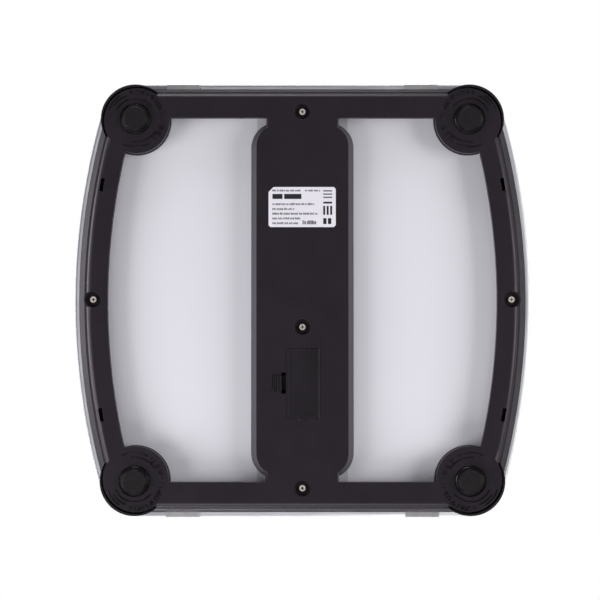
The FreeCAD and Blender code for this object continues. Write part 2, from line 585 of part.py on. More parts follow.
def bent_wire(points, radius, bend):
    """A round wire through the points, with tangent arcs at the corners."""
    corners = [Vector(*point) for point in points]
    edges, start = [], corners[0]
    for before, here, after in zip(corners, corners[1:], corners[2:]):
        back, on = (before - here).normalize(), (after - here).normalize()
        half = back.getAngle(on) / 2
        reach = bend / math.tan(half)
        first, last = here + back * reach, here + on * reach
        middle = here + (back + on).normalize() * (bend / math.sin(half) - bend)
        edges.append(Part.LineSegment(start, first).toShape())
        edges.append(Part.Arc(first, middle, last).toShape())
        start = last
    edges.append(Part.LineSegment(start, corners[-1]).toShape())
    path = Part.Wire(edges)
    ring = Part.Wire([Part.makeCircle(radius, corners[0], corners[1] - corners[0])])
    return path.makePipeShell([ring], True, False)


def wire_solid(name, routes, kind):
    """Leads laid in the channels, one solid for each route; kind names their radius and bend."""
    made = DOC.addObject("Part::Feature", name)
    solids = [bent_wire(route, dim(kind + "_radius"), dim(kind + "_bend")) for route in routes]
    made.Shape = solids[0] if len(solids) == 1 else Part.makeCompound(solids)
    return made


def leads():
    """Cell, electrode and battery leads, each from its contact to the board."""
    board_top = dim("board_low") + dim("board_thick")
    high, low = dim("tray_roof") - dim("lead_radius") - 0.1, dim("board_low") + 3.6
    channel_y = dim("pod_y") + dim("gate_y")
    for corner, sx, sy in CORNERS:
        route = [(sx * (dim("pod_x") - 12.5), sy * channel_y, high), (sx * 18.5, sy * channel_y, high)]
        if sy > 0:
            route += [(sx * 12, 113.5, high), (sx * 12, 113.5, board_top)]
        else:
            route += [(sx * 18.5, 30, high), (sx * 13, 53, high), (sx * 13, 53, board_top)]
        node(wire_solid(f"cell_lead_{corner}", [route], "lead"), f"load_cell_lead_{corner}")
    thin = []
    for corner, sx, sy in CORNERS:
        x, y = sx * (dim("electrode_x") - 6), sy * (dim("electrode_tail") - 6)
        route = [(x, y, dim("tray_top")), (x, y, low), (sx * 19, sy * 143.2, low)]
        if sy > 0:
            route += [(sx * 7, 113.5, low), (sx * 7, 113.5, board_top)]
        else:
            route += [(sx * 21.3, -125, low), (sx * 21.3, 32, low), (sx * 8.5, 53, low),
                      (sx * 8.5, 53, board_top)]
        thin.append(route)
    node(wire_solid("electrode_wires", thin, "thin_lead"), "electrode_leads")
    feeds = [[(x, dim("bay_far") + dim("bay_wall"), dim("battery_z")), (x, -28, dim("battery_z")),
              (x, -24, dim("battery_z") + 2.4), (x * 1.2, 30, dim("battery_z") + 2.4),
              (x * 0.8, 52.5, dim("battery_z") + 2.4), (x * 0.8, 52.5, board_top)] for x in (-5.8, 5.0)]
    node(wire_solid("battery_wires", feeds, "supply_lead"), "battery_leads")


# ---------------------------------------------------------------- board, display and keys

def board():
    top = "board_low + board_thick"
    blank = pad("board_blank", "XY_Plane",
                [("-board_half_x", "board_near"), ("board_half_x", "board_near"),
                 ("board_half_x", "board_far"), ("-board_half_x", "board_far")], "board_thick")
    place(blank, z="board_low")
    holes = [rod(f"board_hole_{corner}", "board_shank + 0.1", *board_corner(sx, sy), "board_low - 1",
                 f"{top} + 1") for corner, sx, sy in CORNERS]
    node(cut("board", blank, *holes), "main_board")

    blob = DOC.addObject("Part::Sphere", "chip_blob")
    bind(blob, Radius="9")
    place(blob, "-6", "92", "board_low + 7.2")
    under = box("chip_under", "-20", "8", "80", "104", "board_low - 4", "board_low")
    chips = [common("chip_dome", blob, under),
             box("chip_amplifier", "8", "14", "84", "89", "board_low - 1.5", "board_low"),
             rod("chip_capacitor", "2.5", "14", "70", "board_low - 3", "board_low"),
             box("chip_crystal", "-20", "-9", "70", "74", "board_low - 2.6", "board_low"),
             box("chip_radio", "-3", "5", "70", "76", "board_low - 1.4", "board_low")]
    node(group("chips", chips), "board_chips")


def display():
    near, far = "display_y - holder_half_y", "display_y + holder_half_y"
    top = "board_low + board_thick"
    frame = box("holder_block", "-holder_half_x", "holder_half_x", near, far, top, "glass_under - 0.1")
    room = box("holder_room", "-holder_half_x + holder_wall", "holder_half_x - holder_wall",
               f"{near} + holder_wall", f"{far} - holder_wall", f"{top} - 1", "glass_under + 1")
    node(cut("holder", frame, room), "lcd_holder")
    inner = "(holder_half_y - holder_wall - 0.2)"
    node(box("panel", "-holder_half_x + holder_wall + 0.2", "holder_half_x - holder_wall - 0.2",
             f"display_y - {inner}", f"display_y + {inner}", f"{top} + panel_low",
             f"{top} + panel_high"), "lcd_panel")
    strips = [box(f"zebra_{side + 1}", "-zebra_half_x", "zebra_half_x",
                  f"display_y + {side} * ({inner} - 1) - zebra_half_y",
                  f"display_y + {side} * ({inner} - 1) + zebra_half_y", top, f"{top} + panel_low")
              for side in (-1, 1)]
    node(group("zebra_pair", strips), "zebra_strips")
    node(box("light_guide", "-guide_half_x", "guide_half_x", f"display_y - {inner} + 2.6",
             f"display_y + {inner} - 2.6", f"{top} + guide_low", f"{top} + guide_high"), "backlight_panel")


def keys():
    top, face = "board_low + board_thick", "glass_under + glass_thick + key_proud"
    switches = []
    for key, step in KEYS:
        x = f"{step} * key_pitch"
        cap = turned(f"key_{key}", [
            ("0", "tray_roof - 1.4"), ("stem_radius", "tray_roof - 1.4"), ("stem_radius", "tray_roof - 1"),
            ("key_flange", "tray_roof - 1"), ("key_flange", "tray_roof - 0.2"),
            ("key_radius", "tray_roof - 0.2"), ("key_radius", f"{face} - 0.5"),
            ("key_radius - 0.5", face), ("key_radius - 1.3", face), ("0", f"{face} - 0.5")])
        node(place(cap, x, "key_y"), f"key_cap_{key}")
        plunger = rod(f"plunger_{key}", "plunger_radius", x, "key_y", f"{top} + 1.4", "tray_roof - 1.4")
        node(plunger, f"tact_plunger_{key}")
        block = box(f"switch_block_{key}", f"{x} - switch_half", f"{x} + switch_half", "key_y - switch_half",
                    "key_y + switch_half", top, f"{top} + switch_high")
        bore = rod(f"switch_bore_{key}", "switch_bore", x, "key_y", f"{top} + 0.6",
                   f"{top} + switch_high + 1")
        switches.append(cut(f"switch_{key}", block, bore))
    node(group("switch_set", switches), "tact_switches")


# ---------------------------------------------------------------- batteries, door and latch

BATTERY_ROWS = [(-5.4, 1), (5.4, -1)]


def batteries():
    count = 0
    for shift, points_far in BATTERY_ROWS:
        for place_in_row in (0, 1):
            count += 1
            owner = body(f"battery_{count}")
            outline = profile(owner, "XY_Plane", [
                ("0", "0"), ("battery_radius - 0.9", "0"), ("battery_radius", "0.5"),
                ("battery_radius", "battery_length - 1.4"), ("battery_radius - 0.8", "battery_length - 0.9"),
                ("1.9", "battery_length - 0.9"), ("1.9", "battery_length"), ("0", "battery_length")])
            turn = owner.newObject("PartDesign::Revolution", f"battery_turn_{count}")
            turn.Profile = outline
            turn.ReferenceAxis = (outline, ["V_Axis"])
            turn.Angle = 360
            near_end = f"battery_far - battery_length * {place_in_row + 1}"
            if points_far > 0:
                place(owner, f"bay_mid + {shift}", near_end, "battery_z")
            else:
                owner.Placement.Rotation = Rotation(Vector(0, 0, 1), 180)
                place(owner, f"bay_mid + {shift}", f"{near_end} + battery_length", "battery_z")
            node(owner, f"battery_cell_{count}")


def bent_contact(wall_y, tip_y, towards):
    """Side view of a stamped contact: a flat strip with a V that meets the battery."""
    thick = f"{towards} * contact_thick"
    return [(wall_y, "battery_z + contact_half"), (f"{wall_y} + {thick}", "battery_z + contact_half"),
            (f"{wall_y} + {thick}", "battery_z + 1.5"), (tip_y, "battery_z + 0.5"),
            (tip_y, "battery_z - 0.5"), (f"{wall_y} + {thick}", "battery_z - 1.5"),
            (f"{wall_y} + {thick}", "battery_z - contact_half"), (wall_y, "battery_z - contact_half"),
            (wall_y, "battery_z - 1.2"), (f"{tip_y} - {thick}", "battery_z - 0.3"),
            (f"{tip_y} - {thick}", "battery_z + 0.3"), (wall_y, "battery_z + 1.2")]


def contacts():
    for label, (shift, points_far) in zip(("plus", "minus"), BATTERY_ROWS):
        strip = pad(f"terminal_{label}", "YZ_Plane", bent_contact("bay_far", "battery_far", -1),
                    "contact_wide", midplane=True)
        node(place(strip, f"bay_mid + {shift}"), f"battery_terminal_{label}")
    last = "battery_far - battery_length * 2"
    bridge = pad("bridge", "YZ_Plane", bent_contact("bay_near", last, 1), "bridge_wide", midplane=True)
    node(place(bridge, "bay_mid"), "battery_bridge_contact")


def door():
    axis_x, axis_z = "door_left + barrel_radius", "cover_face + barrel_radius"
    inner = "cover_face + door_thick"
    panel = box("door_panel", axis_x, "door_right", "door_near", "door_far", "cover_face", inner)
    sunk = box("door_sunk", "door_left + door_sunk_rim", "door_right - door_sunk_rim",
               "door_near + door_sunk_rim", "door_far - door_sunk_far", "cover_face - 1",
               "cover_face + door_sunk_deep")
    barrel = rod_y("door_barrel", "barrel_radius", axis_x, axis_z, "door_near", "door_far")
    pegs = rod_y("door_pegs", "peg_radius", axis_x, axis_z, "door_near - peg_length",
                 "door_far + peg_length")
    leg = box("door_leg", "door_right - 0.8", "door_right", "latch_near + 0.4", "latch_far - 0.4",
              "cover_face + 0.8", "latch_high - 1.2")
    node(cut("door", fuse("door_blank", panel, barrel, pegs, leg), sunk), "battery_door")

    bed, top = "cover_face + 0.5", "cover_face + door_thick"
    plate = box("latch_plate", "latch_slot_left", "latch_end", "latch_near", "latch_far", bed, top)
    upright = box("latch_upright", "latch_slot_left", "latch_slot_left + latch_leg", "latch_near + 0.4",
                  "latch_far - 0.4", bed, "latch_high")
    bridge = box("latch_bridge", "door_right - 0.3", "latch_slot_left + latch_leg", "latch_near + 0.4",
                 "latch_far - 0.4", "latch_high - 0.9", "latch_high")
    ribs = [box(f"latch_rib_{i}", f"latch_slot_left + 0.3 + {i} * 1.7", f"latch_slot_left + 1.1 + {i} * 1.7",
                "latch_near", "latch_far", "cover_face", f"{bed} + 0.1") for i in range(4)]
    node(fuse("latch", plate, upright, bridge, *ribs), "door_latch")
    node(box("foam", "bay_mid - foam_half", "bay_mid + foam_half", "door_near + foam_end",
             "door_far - foam_end", inner, f"{inner} + foam_thick"), "door_foam")


def label():
    """A thin plate with one corner cut off and three small corner cuts."""
    small = "1.4"
    points = [("label_left + " + small, "label_near"), ("label_right - " + small, "label_near"),
              ("label_right", "label_near + " + small), ("label_right", "label_far - label_cut"),
              ("label_right - label_cut", "label_far"), ("label_left + " + small, "label_far"),
              ("label_left", "label_far - " + small), ("label_left", "label_near + " + small)]
    plate = pad("label", "XY_Plane", points, "label_thick")
    node(place(plate, z="cover_face - label_thick"), "rating_label")


# ---------------------------------------------------------------- build, test and write

for make in (glass_platform, electrodes, bonding_tape, upper_tray, lower_cover, screws, feet, load_cells,
             leads, board, display, keys, batteries, contacts, door, label):
    make()
DOC.recompute()

faults = [item.Label for item in DOC.Objects if {"Invalid", "Error"} & set(item.State)]
faults += [item.Label for item in NODES if item.Shape.isNull() or not item.Shape.isValid()
           or not item.Shape.Solids]
if faults:
    raise SystemExit("failed: " + ", ".join(faults))

os.makedirs("parts", exist_ok=True)
for item in NODES:
    item.Shape.exportStep(f"parts/{item.Label}.step")
    print(f"{item.Label}: {len(item.Shape.Solids)} solid, {item.Shape.Volume / 1000:.2f} cm3")
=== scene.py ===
import json
import math
import random

import bmesh
import bpy
from mathutils import Matrix, Vector


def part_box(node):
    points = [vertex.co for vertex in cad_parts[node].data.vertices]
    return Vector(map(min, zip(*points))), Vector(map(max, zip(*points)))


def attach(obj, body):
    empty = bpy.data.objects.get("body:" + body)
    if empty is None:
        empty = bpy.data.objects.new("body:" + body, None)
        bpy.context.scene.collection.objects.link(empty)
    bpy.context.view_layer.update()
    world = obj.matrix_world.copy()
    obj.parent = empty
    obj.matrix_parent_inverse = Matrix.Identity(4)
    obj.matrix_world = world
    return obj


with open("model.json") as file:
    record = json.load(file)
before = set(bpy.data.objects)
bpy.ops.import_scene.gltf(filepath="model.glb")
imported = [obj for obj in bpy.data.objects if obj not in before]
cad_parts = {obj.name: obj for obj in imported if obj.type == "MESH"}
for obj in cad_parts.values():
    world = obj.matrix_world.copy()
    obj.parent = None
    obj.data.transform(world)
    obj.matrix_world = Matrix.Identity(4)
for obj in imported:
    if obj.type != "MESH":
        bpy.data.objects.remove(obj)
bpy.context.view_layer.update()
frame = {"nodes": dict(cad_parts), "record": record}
nodes = frame["nodes"]
scene = bpy.context.scene

MM = 0.001
COVER_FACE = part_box("lower_cover")[0].z
GLASS_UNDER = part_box("glass_platform")[0].z
GLASS_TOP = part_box("glass_platform")[1].z
GLASS_HALF_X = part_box("glass_platform")[1].x
GLASS_HALF_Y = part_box("glass_platform")[1].y
GLASS_BOW_CENTRE = 0.328
CLEAR_MARGIN = 3.3 * MM
GROUND_EDGE = 0.6 * MM
BAND_WIDE = 12 * MM
SPINE_WALL_RISE, INNER_WALL_RISE = 0.9 * MM, 4 * MM
SPINE_WALLS = (23 * MM, 42 * MM)
PARTING_LOW, PARTING_HIGH = COVER_FACE + 4.75 * MM, COVER_FACE + 5.3 * MM
LABEL_LOW, LABEL_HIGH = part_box("rating_label")
CORNERS = {"near_left": (-1, -1), "near_right": (1, -1), "far_left": (-1, 1), "far_right": (1, 1)}
dice = random.Random(7)


# ---------------------------------------------------------------- finishes

class Finish:
    """A material with the nodes that most finishes of the scale share."""

    def __init__(self, name, colour, rough, metallic=0.0, coat=0.0, coat_rough=0.05, specular=0.5):
        self.material = bpy.data.materials.new(name)
        self.material.use_nodes = True
        self.tree = self.material.node_tree
        self.shader = self.tree.nodes["Principled BSDF"]
        self.place = self.tree.nodes.new("ShaderNodeTexCoord").outputs["Object"]
        self.shader.inputs["Base Color"].default_value = (*colour, 1)
        self.shader.inputs["Roughness"].default_value = rough
        self.shader.inputs["Metallic"].default_value = metallic
        self.shader.inputs["Specular IOR Level"].default_value = specular
        self.shader.inputs["Coat Weight"].default_value = coat
        self.shader.inputs["Coat Roughness"].default_value = coat_rough
        self.colour, self.rough = colour, rough

    def link(self, a, b):
        self.tree.links.new(a, b)

    def node(self, kind, **settings):
        made = self.tree.nodes.new(kind)
        for key, value in settings.items():
            setattr(made, key, value)
        return made

    def stretched(self, scale):
        """The piece's own coordinates, drawn out along one axis."""
        mapping = self.node("ShaderNodeMapping")
        mapping.inputs["Scale"].default_value = scale
        self.link(self.place, mapping.inputs["Vector"])
        return mapping.outputs["Vector"]

    def noise(self, scale, detail=2.0, rough=0.5, where=None):
        made = self.node("ShaderNodeTexNoise")
        made.inputs["Scale"].default_value = scale
        made.inputs["Detail"].default_value = detail
        made.inputs["Roughness"].default_value = rough
        self.link(where or self.place, made.inputs["Vector"])
        return made.outputs["Fac"]

    def ramp(self, factor, stops, easing="LINEAR"):
        made = self.node("ShaderNodeValToRGB")
        made.color_ramp.interpolation = easing
        elements = made.color_ramp.elements
        for stop, (position, colour) in zip((elements[0], elements[1]), (stops[0], stops[-1])):
            stop.position, stop.color = position, (*colour, 1)
        for position, colour in stops[1:-1]:
            elements.new(position).color = (*colour, 1)
        self.link(factor, made.inputs["Fac"])
        return made.outputs["Color"]

    def spread(self, factor, low, high, first=0.3, last=0.7):
        """Maps the range first to last onto low to high."""
        made = self.node("ShaderNodeMapRange")
        for key, value in (("From Min", first), ("From Max", last), ("To Min", low), ("To Max", high)):
            made.inputs[key].default_value = value
        self.link(factor, made.inputs["Value"])
        return made.outputs["Result"]

    def mix(self, factor, a, b):
        made = self.node("ShaderNodeMix", data_type="RGBA")
        self.link(factor, made.inputs["Factor"])
        for socket, value in ((made.inputs["A"], a), (made.inputs["B"], b)):
            if isinstance(value, tuple):
                socket.default_value = (*value, 1)
            else:
                self.link(value, socket)
        return made.outputs["Result"]

    def combine(self, operation, a, b=0.0):
        """One step of arithmetic on two outputs or numbers."""
        made = self.node("ShaderNodeMath", operation=operation)
        for socket, value in zip(made.inputs, (a, b)):
            if isinstance(value, (int, float)):
                socket.default_value = value
            else:
                self.link(value, socket)
        return made.outputs["Value"]

    def from_bow_centre(self, x, y):
        """Distance from the centre of the arc that each side of the glass follows."""
        across = self.combine("ADD", self.combine("ABSOLUTE", x), GLASS_BOW_CENTRE)
        squares = self.combine("ADD", self.both(across, across), self.both(y, y))
        return self.combine("SQRT", squares)

    def both(self, a, b):
        """The product of two outputs, which is 1 where two masks are both 1."""
        return self.combine("MULTIPLY", a, b)

    def axes(self):
        made = self.node("ShaderNodeSeparateXYZ")
        self.link(self.place, made.inputs["Vector"])
        return made.outputs["X"], made.outputs["Y"], made.outputs["Z"]

    def shade(self, source):
        self.link(source, self.shader.inputs["Base Color"])
        return self

    def drift(self, scale, amount):
        """Slow change of the colour by a share of it."""
        low = tuple(c * (1 - amount) for c in self.colour)
        high = tuple(min(1.0, c * (1 + amount)) for c in self.colour)
        return self.shade(self.ramp(self.noise(scale, 3.0), [(0.32, low), (0.68, high)]))

    def uneven(self, scale, amount):
        """Patches that are a little smoother or rougher."""
        low, high = max(0.02, self.rough - amount), min(1.0, self.rough + amount)
        self.link(self.spread(self.noise(scale, 3.0), low, high), self.shader.inputs["Roughness"])
        return self

    def relief(self, height, distance, strength=1.0, round_edge=0.0):
        """Bump from a height, on edges that look rounded by round_edge."""
        bump = self.node("ShaderNodeBump")
        bump.inputs["Distance"].default_value = distance
        bump.inputs["Strength"].default_value = strength
        self.link(height, bump.inputs["Height"])
        if round_edge:
            bevel = self.node("ShaderNodeBevel", samples=4)
            bevel.inputs["Radius"].default_value = round_edge
            self.link(bevel.outputs["Normal"], bump.inputs["Normal"])
        self.link(bump.outputs["Normal"], self.shader.inputs["Normal"])
        return self


def moulded(name, colour, rough, pitch=0.35 * MM, depth=0.006 * MM, drift=0.14, round_edge=0.3 * MM,
            specular=0.5, sheen=(1, 1, 1)):
    """Injection-moulded plastic: a spark-eroded grain, slow flow marks and slightly rounded edges."""
    finish = Finish(name, colour, rough, specular=specular)
    finish.shader.inputs["Specular Tint"].default_value = (*sheen, 1)
    finish.drift(28, drift).uneven(70, 0.06)
    finish.relief(finish.noise(1 / pitch, 2.0), depth, 1.0, round_edge)
    return finish.material


def housing_plastic(name, colour):
    """The black housing: satin flats, a painted highlight on the walls beside the spine, painted light on the
    shadowed parting ledge, and painted shade on the duller inner walls.
    """
    finish = Finish(name, colour, 0.42, specular=0.34)
    finish.shader.inputs["Specular Tint"].default_value = (*PLASTIC_SHEEN, 1)
    x, y, z = finish.axes()
    wide, tall = finish.combine("ABSOLUTE", x), finish.combine("ABSOLUTE", y)
    bow = finish.from_bow_centre(x, y)
    within = finish.both(finish.combine("LESS_THAN", bow, GLASS_BOW_CENTRE + GLASS_HALF_X - BAND_WIDE),
                         finish.combine("LESS_THAN", tall, GLASS_HALF_Y - BAND_WIDE))
    spine_side = finish.both(finish.combine("LESS_THAN", wide, SPINE_WALLS[1]),
                             finish.combine("GREATER_THAN", wide, SPINE_WALLS[0]))
    risen = finish.combine("GREATER_THAN", z, COVER_FACE + SPINE_WALL_RISE)
    # The walls beside the spine get a paler colour: a painted highlight standing in for light they reflect
    # from the lamps below.
    spine_wall_painted_highlight = finish.both(finish.both(spine_side, within), risen)
    # The inner walls of the windows are painted darker, as painted shade, and made rougher.
    inner_wall_shade_and_dullness = finish.both(within, finish.combine("GREATER_THAN", z, COVER_FACE + INNER_WALL_RISE))
    # A band at the parting ledge is painted paler: painted light lifting the shadow in the groove between
    # cover and tray.
    parting_ledge_painted_light = finish.both(finish.combine("GREATER_THAN", z, PARTING_LOW),
                          finish.combine("LESS_THAN", z, PARTING_HIGH))
    flow = finish.ramp(finish.noise(28, 3.0), [(0.32, tuple(c * 0.93 for c in colour)),
                                               (0.68, tuple(c * 1.07 for c in colour))])
    # Painted shade on the inner walls, painted light at the parting ledge, painted highlight beside the spine.
    inner_wall_painted_shade = finish.mix(inner_wall_shade_and_dullness, flow, (0.003, 0.0024, 0.003))
    parting_ledge_lit = finish.mix(parting_ledge_painted_light, inner_wall_painted_shade, (0.042, 0.036, 0.044))
    finish.shade(finish.mix(spine_wall_painted_highlight, parting_ledge_lit, (0.088, 0.080, 0.098)))
    satin = finish.spread(finish.noise(70, 3.0), 0.39, 0.45)
    dull_rough = finish.combine("MAXIMUM", satin, finish.combine("MULTIPLY", inner_wall_shade_and_dullness, 0.85))
    finish.link(dull_rough, finish.shader.inputs["Roughness"])
    finish.relief(finish.noise(1 / (0.4 * MM), 2.0), 0.005 * MM, 1.0, 0.35 * MM)
    return finish.material


def brushed(name, colour, rough, along=(1, 0.02, 1), pitch=0.12 * MM, depth=0.002 * MM, drift=0.06):
    """Rolled or brushed metal with fine lines along one axis."""
    finish = Finish(name, colour, rough, metallic=1.0)
    fine = finish.noise(1 / pitch, 3.0, 0.6, finish.stretched(along))
    broad = finish.noise(0.1 / pitch, 2.0, 0.6, finish.stretched(along))
    lines = finish.combine("ADD", finish.combine("MULTIPLY", fine, 0.6),
                           finish.combine("MULTIPLY", broad, 0.4))
    finish.shade(finish.ramp(lines, [(0.3, tuple(c * (1 - drift) for c in colour)),
                                     (0.7, tuple(min(1, c * (1 + drift)) for c in colour))]))
    finish.link(finish.spread(lines, rough - 0.08, rough + 0.1), finish.shader.inputs["Roughness"])
    finish.relief(lines, depth, 1.0, 0.1 * MM)
    return finish.material


def plated(name, colour, rough):
    """Nickel or tin plating, faintly pitted and handled, with a strong random speckle in its colour painted in
    as glints.
    """
    finish = Finish(name, colour, rough, metallic=1.0)
    # The strong speckle in the colour stands in for glints: painted glints.
    finish.drift(900, 0.3).uneven(700, 0.1)
    finish.relief(finish.noise(4000, 2.0), 0.003 * MM, 1.0, 0.08 * MM)
    return finish.material


def screw_plating():
    """Warm bright plating on the screw heads, with a speckle painted in as glints, and painted shade in the
    cross recess and down the shank.
    """
    finish = Finish("warm_plated_screw", (0.98, 0.88, 0.76), 0.34, metallic=0.55)
    # A random speckle of paler and darker plating whose bright spots are painted glints.
    glint_speckle = finish.ramp(finish.noise(900, 3.0), [(0.32, (0.74, 0.66, 0.56)), (0.68, (1.0, 0.93, 0.84))])
    # Above the head's face, in the cross recess and down the shank, the colour is painted dark: painted shade.
    recess_painted_shade = finish.combine("GREATER_THAN", finish.axes()[2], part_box("case_screws")[0].z + 0.2 * MM)
    finish.shade(finish.mix(recess_painted_shade, glint_speckle, (0.06, 0.05, 0.042))).uneven(700, 0.1)
    finish.relief(finish.noise(4000, 2.0), 0.003 * MM, 1.0, 0.08 * MM)
    return finish.material


def painted_glass():
    """Tempered glass with silver-white paint on its back, clear at the margin and blue-green at the edge; the
    clear margin carries painted shade towards one corner and painted light towards the other.
    """
    finish = Finish("back_painted_glass", (0.80, 0.79, 0.83), 0.3, coat=1.0, coat_rough=0.015)
    x, y, z = finish.axes()
    flake = finish.noise(5200, 2.0)
    cloud = finish.noise(7, 3.0)
    below_top = finish.combine("LESS_THAN", z, GLASS_TOP - GROUND_EDGE)
    on_top = finish.combine("GREATER_THAN", z, GLASS_TOP - GROUND_EDGE)
    beside = finish.combine("GREATER_THAN", finish.from_bow_centre(x, y),
                            GLASS_BOW_CENTRE + GLASS_HALF_X - CLEAR_MARGIN)
    beyond = finish.combine("GREATER_THAN", finish.combine("ABSOLUTE", y), GLASS_HALF_Y - CLEAR_MARGIN)
    margin = finish.both(finish.combine("MAXIMUM", beside, beyond), below_top)
    # The margin's tone is painted light and shade: darker towards the +X, +Y corner and paler towards the -X,
    # -Y corner.
    painted_light_slant = finish.combine("ADD", finish.combine("MULTIPLY", x, -2.6), finish.combine("MULTIPLY", y, -1.6))
    clear = finish.ramp(finish.spread(painted_light_slant, 0, 1, -0.45, 0.45),
                        [(0.0, (0.26, 0.27, 0.305)), (0.24, (0.32, 0.325, 0.36)),
                         (0.76, (0.55, 0.54, 0.61)), (1.0, (0.96, 0.97, 0.97))])
    paint = finish.mix(cloud, (0.782, 0.772, 0.828), (0.795, 0.785, 0.838))
    speckle = finish.mix(flake, (0.93, 0.93, 0.93), (1.0, 1.0, 1.0))
    sparkling = finish.node("ShaderNodeMix", data_type="RGBA", blend_type="MULTIPLY")
    sparkling.inputs["Factor"].default_value = 1.0
    finish.link(paint, sparkling.inputs["A"])
    finish.link(speckle, sparkling.inputs["B"])
    edge = finish.both(finish.combine("GREATER_THAN", z, GLASS_UNDER + 0.03 * MM), below_top)
    streak = finish.ramp(finish.noise(260, 3.0, 0.6, finish.stretched((0.05, 0.05, 1))),
                         [(0.3, (0.42, 0.50, 0.52)), (0.7, (0.60, 0.67, 0.70))])
    lower = finish.mix(margin, finish.mix(edge, sparkling.outputs["Result"], streak), clear)
    through_glass = finish.mix(cloud, (0.560, 0.580, 0.600), (0.575, 0.595, 0.612))
    finish.shade(finish.mix(on_top, lower, through_glass))
    finish.link(finish.spread(finish.noise(9, 2.0), 0.29, 0.32), finish.shader.inputs["Roughness"])
    finish.relief(flake, 0.0008 * MM, 1.0)
    return finish.material


def dusty_rubber(name, colour, rough):
    """Matt rubber with a fine pitted skin and a little dust."""
    finish = Finish(name, colour, rough, specular=0.22)
    finish.shader.inputs["Specular Tint"].default_value = (*PLASTIC_SHEEN, 1)
    dust = finish.noise(420, 4.0, 0.6)
    finish.shade(finish.ramp(dust, [(0.35, colour), (0.75, tuple(c * 1.4 + 0.005 for c in colour))]))
    finish.uneven(300, 0.08)
    finish.relief(finish.noise(3200, 2.0), 0.012 * MM, 1.0, 0.15 * MM)
    return finish.material


def solder_masked_board():
    """Green solder mask over copper tracks, with a glass weave showing faintly."""
    finish = Finish("solder_masked_board", (0.02, 0.12, 0.05), 0.32, coat=0.3)
    tracks = finish.node("ShaderNodeTexBrick")
    tracks.inputs["Scale"].default_value = 260
    tracks.inputs["Mortar Size"].default_value = 0.03
    tracks.inputs["Color1"].default_value = (0.012, 0.085, 0.034, 1)
    tracks.inputs["Color2"].default_value = (0.016, 0.105, 0.044, 1)
    tracks.inputs["Mortar"].default_value = (0.05, 0.22, 0.10, 1)
    finish.link(finish.place, tracks.inputs["Vector"])
    finish.shade(tracks.outputs["Color"]).uneven(500, 0.06)
    finish.relief(tracks.outputs["Fac"], 0.03 * MM, 0.6)
    return finish.material


def battery_wrap():
    """A printed film round a AAA cell: dark blue with a grey band, and bare metal at both ends."""
    low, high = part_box("battery_cell_1")
    length = high.y - low.y
    finish = Finish("battery_wrap", (0.02, 0.02, 0.024), 0.25, coat=0.4)
    y = finish.axes()[1]
    along = finish.combine("FRACT", finish.combine("DIVIDE", finish.combine("SUBTRACT", y, low.y), length))
    bare, blue, grey = (0.62, 0.61, 0.58), (0.010, 0.030, 0.085), (0.16, 0.17, 0.18)
    wrap_start, wrap_end = 0.02, 0.955
    bands = finish.ramp(along, [(0.0, bare), (wrap_start, blue), (0.60, grey), (0.66, blue), (wrap_end, bare)],
                        "CONSTANT")
    finish.shade(bands)
    metal = finish.ramp(along, [(0.0, (1, 1, 1)), (wrap_start, (0, 0, 0)), (wrap_end, (1, 1, 1))], "CONSTANT")
    finish.link(metal, finish.shader.inputs["Metallic"])
    finish.uneven(300, 0.07)
    finish.relief(finish.noise(2400, 2.0), 0.002 * MM)
    return finish.material


def open_foam():
    """Open-cell foam strip."""
    finish = Finish("open_cell_foam", (0.035, 0.035, 0.04), 0.95, specular=0.1)
    cells = finish.node("ShaderNodeTexVoronoi")
    cells.inputs["Scale"].default_value = 1500
    finish.link(finish.place, cells.inputs["Vector"])
    finish.shade(finish.ramp(cells.outputs["Distance"], [(0.1, (0.05, 0.05, 0.056)),
                                                         (0.6, (0.012, 0.012, 0.014))]))
    finish.relief(cells.outputs["Distance"], 0.2 * MM, 0.8)
    return finish.material


def label_film():
    """Satin white label stock."""
    finish = Finish("label_film", (0.76, 0.74, 0.80), 0.42, specular=0.4)
    finish.drift(60, 0.02).uneven(200, 0.06)
    finish.relief(finish.noise(900, 3.0), 0.004 * MM)
    return finish.material


def printing_ink(name, colour, rough=0.5):
    finish = Finish(name, colour, rough, specular=0.3)
    finish.drift(2400, 0.25).uneven(1500, 0.1)
    finish.relief(finish.noise(5000, 2.0), 0.001 * MM)
    return finish.material


def display_glass():
    """Dark window printed under the glass: almost black, mirror smooth."""
    finish = Finish("dark_display_window", (0.004, 0.005, 0.007), 0.06, coat=1.0, coat_rough=0.01)
    finish.drift(30, 0.3).uneven(120, 0.03)
    finish.relief(finish.noise(60, 2.0), 0.0005 * MM)
    return finish.material


def lit_segment():
    """Pale blue light of a reversed liquid crystal display."""
    finish = Finish("lit_display_segment", (0.35, 0.62, 0.85), 0.3)
    glow = finish.ramp(finish.noise(700, 2.0), [(0.3, (0.30, 0.60, 0.95)), (0.7, (0.42, 0.72, 1.0))])
    finish.shade(glow)
    finish.link(glow, finish.shader.inputs["Emission Color"])
    finish.shader.inputs["Emission Strength"].default_value = 0.75
    return finish.material


def wire_sleeve(name, colour):
    """Wire insulation with faint ink wear and slight ripples."""
    finish = Finish(name, colour, 0.45)
    finish.drift(220, 0.2).uneven(300, 0.08)
    finish.relief(finish.noise(1600, 2.0), 0.01 * MM)
    return finish.material


